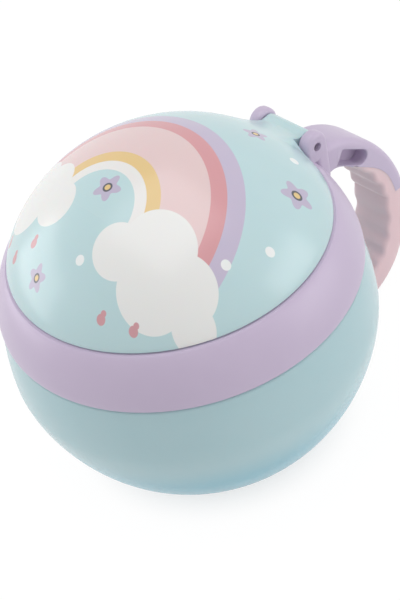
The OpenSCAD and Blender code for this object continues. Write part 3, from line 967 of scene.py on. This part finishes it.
for next_x, next_y in wedge[1:]:
    move = ((next_x - x) * MM, (next_y - y) * MM, 0)
    bpy.ops.mesh.extrude_region_move(TRANSFORM_OT_translate={"value": move})
    x, y = next_x, next_y
bpy.ops.mesh.select_all(action="SELECT")
bpy.ops.mesh.edge_face_add()
bpy.ops.mesh.extrude_region_move(TRANSFORM_OT_translate={"value": (0, 0, FLAP_T * MM)})
bpy.ops.object.mode_set(mode="OBJECT")
clean(flap)
bpy.ops.mesh.primitive_cylinder_add(
    vertices=32, radius=FLAP_T / 2 * MM, depth=2 * hinge_half * MM,
    location=(flap_reach * MM, 0, flap_z * MM), rotation=(math.pi / 2, 0, 0))
hinge_roll = bpy.context.object
pick(hinge_roll)
settle()
round_edges(flap, FLAP_EDGE, 3, 50)
combine(flap, hinge_roll)
smooth(flap)
report(flap)

# %% Eight flaps
flap_pieces = [flap]
for number in range(1, FLAPS):
    copy = flap.copy()
    copy.data = flap.data.copy()
    copy.name = f"soft_flap_{number + 1}"
    bpy.context.collection.objects.link(copy)
    copy.rotation_euler = (0, 0, number * 2 * half_angle)
    pick(copy)
    settle()
    flap_pieces.append(copy)
print(len(flap_pieces), "flaps")

# %% [markdown]
# Every finish below starts from what the real piece is made of. Moulded plastic is never one flat
# colour: the pigment flows in slow streaks, the mould leaves a fine grain, and hands leave a faint
# unevenness in the gloss. One helper lays these three over a plastic shader, each at its real size.

# %% Moulded plastic
FLOW_SIZE = 17.0
TOUCH_SIZE = 6.0
GLOSS_CHANGE = 0.02


def millimetres(tree):
    """The place on the object in millimetres."""
    place = add(tree, "TexCoord", out=3)
    return add(tree, "VectorMath", {0: place, 3: 1 / MM}, operation="SCALE")


def mixed(tree, share, ground, colour):
    """The ground's colour, turned to an sRGB hex colour by the share."""
    return add(tree, "Mix", {0: share, 6: ground, 7: linear(colour)}, out=2, data_type="RGBA")


def moulded(name, colour, streak, roughness, grain, depth, **sockets):
    """A moulded plastic. The streak is the second colour of the pigment's slow flow. Without one, the
    colour is a function that works it out. The grain is the size of the mould's texture and depth its
    height, both in millimetres."""
    material, tree = blank(name)
    place = millimetres(tree)
    flow = add(tree, "TexNoise",
               {"Vector": place, "Scale": 1 / FLOW_SIZE, "Detail": 2.0, "Distortion": 0.8})
    tint = mixed(tree, flow, linear(colour), streak) if streak else colour(tree, place, flow)
    touch = add(tree, "TexNoise", {"Vector": place, "Scale": 1 / TOUCH_SIZE, "Detail": 3.0})
    gloss = add(tree, "MapRange", {"Value": touch, "To Min": roughness - GLOSS_CHANGE,
                                   "To Max": roughness + GLOSS_CHANGE})
    texture = add(tree, "TexNoise", {"Vector": place, "Scale": 1 / grain, "Detail": 2.0})
    relief = add(tree, "Bump", {"Height": texture, "Distance": depth * MM, "Strength": 1.0})
    sockets = {"Base Color": tint, "Roughness": gloss, "Normal": relief, **sockets}
    shader = add(tree, "BsdfPrincipled", sockets)
    add(tree, "OutputMaterial", {"Surface": shader})
    return material


def dress(material, *pieces):
    """Gives the pieces this one material."""
    for piece in pieces:
        piece.data.materials.clear()
        piece.data.materials.append(material)
    print(material.name, "on", [piece.name for piece in pieces])


print("pigment flows over", FLOW_SIZE, "mm and the gloss changes over", TOUCH_SIZE, "mm")

# %% [markdown]
# The collar and the handle's arm are polypropylene, injection-moulded in a finely eroded mould. That
# gives a soft satin shine, no hard highlight, and a little light that wanders under the surface. The
# eroded texture is about 0.1 mm in life. It is drawn at 0.5 mm here, or the render wouldn't show it.

# %% Lilac satin polypropylene
lilac = moulded(
    "lilac_satin_polypropylene", "#c9bbd2", "#c4b5ce", roughness=0.36, grain=0.5, depth=0.006,
    **{"IOR": 1.49, "Subsurface Weight": 0.12, "Subsurface Scale": 0.6 * MM,
       "Subsurface Radius": (1, 0.8, 1)},
)
dress(lilac, collar)

# %% [markdown]
# The grip is a soft elastomer moulded over the web. It feels dry, so it is much rougher than the arm,
# and its broken-up surface catches light at grazing angles like a faint down, which sheen gives.

# %% Pink soft elastomer
pink = moulded(
    "pink_soft_elastomer", "#ecced2", "#e7c9ce", roughness=0.62, grain=0.4, depth=0.012,
    **{"IOR": 1.5, "Sheen Weight": 0.12, "Sheen Roughness": 0.45, "Subsurface Weight": 0.4,
       "Subsurface Scale": 2.5 * MM, "Subsurface Radius": (1, 0.8, 0.8)},
)
dress(pink, grip)

# %% [markdown]
# The bowl is a clear plastic tinted aqua, with a polished outside. It lets through part of the light
# and scatters the rest in its wall, so the wall looks milky. Towards its foot the colour is painted
# deeper and bluer by height, a painted shade for the deeper look the eye gets there through more of
# the wall. The mould is polished, so its grain is only the faintest ripple.

# %% Aqua translucent plastic
PAINTED_SHADE_FULL_BELOW = 16.0
PAINTED_SHADE_GONE_ABOVE = 32.0


def bowl_tint_with_painted_shade(tree, place, flow):
    """A pale aqua, with a painted shade that turns it deeper and bluer towards the foot."""
    pale = mixed(tree, flow, linear("#c1dce1"), "#bbd9df")
    height = add(tree, "SeparateXYZ", {0: place}, out=2)
    # Painted shade: below a height the colour is mixed towards a deeper blue, whatever the light.
    painted_shade_share = add(tree, "MapRange", {"Value": height, "From Min": PAINTED_SHADE_FULL_BELOW, "From Max": PAINTED_SHADE_GONE_ABOVE,
                                  "To Min": 1.0, "To Max": 0.0}, interpolation_type="SMOOTHSTEP")
    return mixed(tree, painted_shade_share, pale, "#84c1d2")


aqua_clear = moulded(
    "aqua_translucent_plastic", bowl_tint_with_painted_shade, None, roughness=0.22, grain=5.0, depth=0.01,
    **{"IOR": 1.4, "Transmission Weight": 0.12, "Subsurface Weight": 0.5, "Subsurface Scale": 1.5 * MM,
       "Subsurface Radius": (0.7, 1, 1), "Specular IOR Level": 0.25},
)
dress(aqua_clear, bowl)

# %% [markdown]
# The seals are silicone rubber pressed in a plain mould: white, matt and slightly see-through at thin
# edges. The flaps and their ring are a firmer elastomer, a little smoother to the touch.

# %% Silicone and flap elastomer
silicone = moulded(
    "white_silicone_rubber", "#f0f0ee", "#e9eaea", roughness=0.5, grain=0.5, depth=0.006,
    **{"IOR": 1.41, "Subsurface Weight": 0.3, "Subsurface Scale": 1.2 * MM},
)
flap_rubber = moulded(
    "aqua_flap_elastomer", "#c3e0e0", "#bcdbdd", roughness=0.5, grain=0.6, depth=0.01,
    **{"IOR": 1.5, "Subsurface Weight": 0.25, "Subsurface Scale": 1.2 * MM, "Sheen Weight": 0.08},
)
dress(silicone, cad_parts["neck_seal"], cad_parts["lid_seal"])
dress(flap_rubber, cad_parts["flap_ring"], *flap_pieces)

# %% [markdown]
# The hinge pin is a ground stainless steel rod. Grinding leaves fine rings round it, so the gloss is
# broken up along the rod and the highlight is stretched across it. The rings are about 0.05 mm in life
# and are drawn at 0.2 mm.

# %% Ground stainless steel
material, tree = blank("ground_stainless_steel")
RING_SIZE = 0.2
place = millimetres(tree)
rings = add(tree, "Mapping", {"Vector": place, "Scale": (1 / RING_SIZE, 0.1, 0.1)})
scratch = add(tree, "TexNoise", {"Vector": rings, "Scale": 1.0, "Detail": 3.0})
gloss = add(tree, "MapRange", {"Value": scratch, "To Min": 0.22, "To Max": 0.4})
tone = mixed(tree, scratch, linear("#b9b8b6"), "#c9c8c5")
relief = add(tree, "Bump", {"Height": scratch, "Distance": 0.004 * MM})
steel = add(tree, "BsdfPrincipled", {"Base Color": tone, "Metallic": 1.0, "Roughness": gloss,
                                     "Anisotropic": 0.4, "Normal": relief})
add(tree, "OutputMaterial", {"Surface": steel})
dress(material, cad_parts["hinge_pin"])

# %% [markdown]
# The lid carries a printed design. The real one is a film laid in the mould before the plastic is shot
# behind it, so the colours are flat, the edges crisp and the gloss is the same all over. The design here
# is a plain rainbow between two clouds, with blossoms, dots and rain. An image could hold it, but shapes
# worked out in the shader stay sharp at any distance. A shape is a distance: below zero is inside, above
# zero is outside. The dome is mapped by the distance from its top, in the direction seen from above, so
# that round shapes stay round on its slopes.

# %% Print shapes
PETALS = 5
PETAL_WAVE = 0.2
INK_EDGE = 0.08
TINY = 0.001


def print_place(tree, place):
    """Print coordinates in millimetres: the distance from the dome's top, in the direction from above."""
    flat = add(tree, "VectorMath", {0: place, 1: (1, 1, 0)}, operation="MULTIPLY")
    reach = add(tree, "VectorMath", {0: place, 1: (0, 0, dome_top)}, out=1, operation="DISTANCE")
    level = add(tree, "VectorMath", {0: flat}, out=1, operation="LENGTH")
    level = add(tree, "Math", {0: level, 1: TINY}, operation="MAXIMUM")
    stretch = add(tree, "Math", {0: reach, 1: level}, operation="DIVIDE")
    return add(tree, "VectorMath", {0: flat, 3: stretch}, operation="SCALE")


def disc(tree, spot, x, y, r):
    """The distance to a disc."""
    away = add(tree, "VectorMath", {0: spot, 1: (x, y, 0)}, out=1, operation="DISTANCE")
    return add(tree, "Math", {0: away, 1: r}, operation="SUBTRACT")


def joined(tree, shapes, operation="MINIMUM"):
    """The distance to all shapes together, or with MAXIMUM to what they share."""
    whole = shapes[0]
    for shape in shapes[1:]:
        whole = add(tree, "Math", {0: whole, 1: shape}, operation=operation)
    return whole


def above(tree, spot, y):
    """The distance to all that lies above a height on the print."""
    height = add(tree, "SeparateXYZ", {0: spot}, out=1)
    return add(tree, "Math", {0: y, 1: height}, operation="SUBTRACT")


def blossom(tree, spot, x, y, r, turn):
    """The distance to a blossom of round petals."""
    turned_by = (0, 0, math.radians(turn))
    local = add(tree, "Mapping", {"Vector": spot, "Location": (x, y, 0), "Rotation": turned_by},
                vector_type="TEXTURE")
    sides = add(tree, "SeparateXYZ", {0: local}).node
    angle = add(tree, "Math", {0: sides.outputs[1], 1: sides.outputs[0]}, operation="ARCTAN2")
    petals = add(tree, "Math", {0: angle, 1: PETALS}, operation="MULTIPLY")
    wave = add(tree, "Math", {0: petals}, operation="COSINE")
    edge = add(tree, "Math", {0: wave, 1: PETAL_WAVE * r, 2: (1 - PETAL_WAVE) * r},
               operation="MULTIPLY_ADD")
    away = add(tree, "VectorMath", {0: local}, out=1, operation="LENGTH")
    return add(tree, "Math", {0: away, 1: edge}, operation="SUBTRACT")


def ink(tree, ground, colour, *shapes):
    """Prints a colour over the ground inside the shapes, with a slightly soft edge."""
    inside = add(tree, "MapRange", {"Value": joined(tree, shapes), "From Min": -INK_EDGE,
                                    "From Max": INK_EDGE, "To Min": 1.0, "To Max": 0.0})
    return mixed(tree, inside, ground, colour)


print("a blossom's edge lies between", 1 - 2 * PETAL_WAVE, "and 1 of its radius")

# %% Print layout
RAINBOW = (0.0, -20.0)
ARCS = ((39.0, "#c3b9cf"), (34.5, "#d59a9f"), (30.5, "#e2c8c8"), (18.5, "#e3c488"), (15.0, "#e8e6e4"),
        (12.0, "#bdd8db"))
LEFT_CLOUD = ((-39, -22, 6.5), (-31, -17, 8.5), (-21, -18, 8), (-13, -22, 6.5), (-26, -23, 9))
RIGHT_CLOUD = ((14, -24, 7), (22, -17, 9.5), (33, -20, 8.5), (40, -25, 6), (27, -26, 9.5))
ARC_OVERLAP = 0.05
BLOSSOMS = ((-30, 22, 4.2, 10), (31, 23, 4.6, 25), (8, 30, 3.4, 0), (0, -13, 4.0, 15), (-6, -40, 3.6, 20))
DOTS = ((-14, 33), (40, 4), (-42, 2), (6, -31), (20, 33), (36, -8), (-36, -36))
DOT_R = 1.3
RAIN = ((-30, -34), (-21, -38), (-13, -33), (19, -39), (28, -36))
DROP_R = 1.3
DROP_TOP = 1.5
DROP_TOP_R = 0.8


def lid_print(tree, place, flow):
    """The colour of the lid at each place."""
    spot = print_place(tree, place)
    shade = mixed(tree, flow, linear("#bfd9dc"), "#b9d5d9")
    for number, (r, colour) in enumerate(ARCS):
        sky = above(tree, spot, RAINBOW[1] - ARC_OVERLAP * number)
        band = joined(tree, [disc(tree, spot, *RAINBOW, r), sky], "MAXIMUM")
        shade = ink(tree, shade, colour, band)
    for cloud in (LEFT_CLOUD, RIGHT_CLOUD):
        shade = ink(tree, shade, "#e9e9e7", *[disc(tree, spot, *part) for part in cloud])
    shade = ink(tree, shade, "#bdb4ca", *[blossom(tree, spot, *part) for part in BLOSSOMS])
    for colour, share in (("#565960", 3), ("#e3c488", 5)):
        middles = [disc(tree, spot, x, y, r / share) for x, y, r, turn in BLOSSOMS]
        shade = ink(tree, shade, colour, *middles)
    shade = ink(tree, shade, "#eceeed", *[disc(tree, spot, *dot, DOT_R) for dot in DOTS])
    drops = [disc(tree, spot, *drop, DROP_R) for drop in RAIN]
    drops += [disc(tree, spot, x, y + DROP_TOP, DROP_TOP_R) for x, y in RAIN]
    return ink(tree, shade, "#cf9aa0", *drops)


print("rainbow of", len(ARCS), "arcs with", len(BLOSSOMS), "blossoms and", len(DOTS), "dots")

# %% Printed film
lid_film = moulded(
    "aqua_printed_lid_film", lid_print, None, roughness=0.26, grain=3.0, depth=0.01,
    **{"IOR": 1.49, "Subsurface Weight": 0.08, "Subsurface Scale": 0.5 * MM, "Coat Weight": 0.2,
       "Coat Roughness": 0.2},
)
dress(lid_film, lid)
lid_body = moulded(
    "aqua_satin_polypropylene", "#bfd9dc", "#b9d5d9", roughness=0.34, grain=0.5, depth=0.006,
    **{"IOR": 1.49, "Subsurface Weight": 0.1, "Subsurface Scale": 0.6 * MM},
)
dress(lid_body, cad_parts["lid_plug"])

# %% [markdown]
# The film lies on the outside only. The faces that look inwards or down show the bare plastic, so they
# are selected and given it as a second material.

# %% Bare plastic inside the lid
LOOK_DROP = 20.0
LOOK_FROM = Vector((0, 0, (seam_z - LOOK_DROP) * MM))


def looks_in(face):
    """True for a face that is turned towards a point below the lid."""
    return face.normal.dot(face.center - LOOK_FROM) < 0


lid.data.materials.append(lid_body)
choose(lid, looks_in, "polygons")
lid.active_material_index = 1
bpy.ops.object.material_slot_assign()
bpy.ops.object.mode_set(mode="OBJECT")
bare = sum(face.material_index for face in lid.data.polygons)
print(bare, "bare faces of", len(lid.data.polygons))

# %% [markdown]
# Each finished piece now stands for its construction nodes: it hides them and rides on the same moving
# body.

# %% Bodies
placed = [
    (bowl, ["bowl"], "bowl", "clear_aqua_plastic"),
    (collar, ["collar", "handle"], "collar", "lilac_plastic"),
    (grip, ["grip"], "collar", "pink_soft_grip"),
    (lid, ["lid_shell"], "lid", "aqua_lid_plastic"),
]
for number, piece in enumerate(flap_pieces, 1):
    placed.append((piece, [f"flap_{number}"], f"flap_body_{number}", "flap_soft_plastic"))
for piece, nodes, body, slot in placed:
    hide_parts(*nodes)
    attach(piece, body)
print(len(placed), "pieces ride on their bodies")
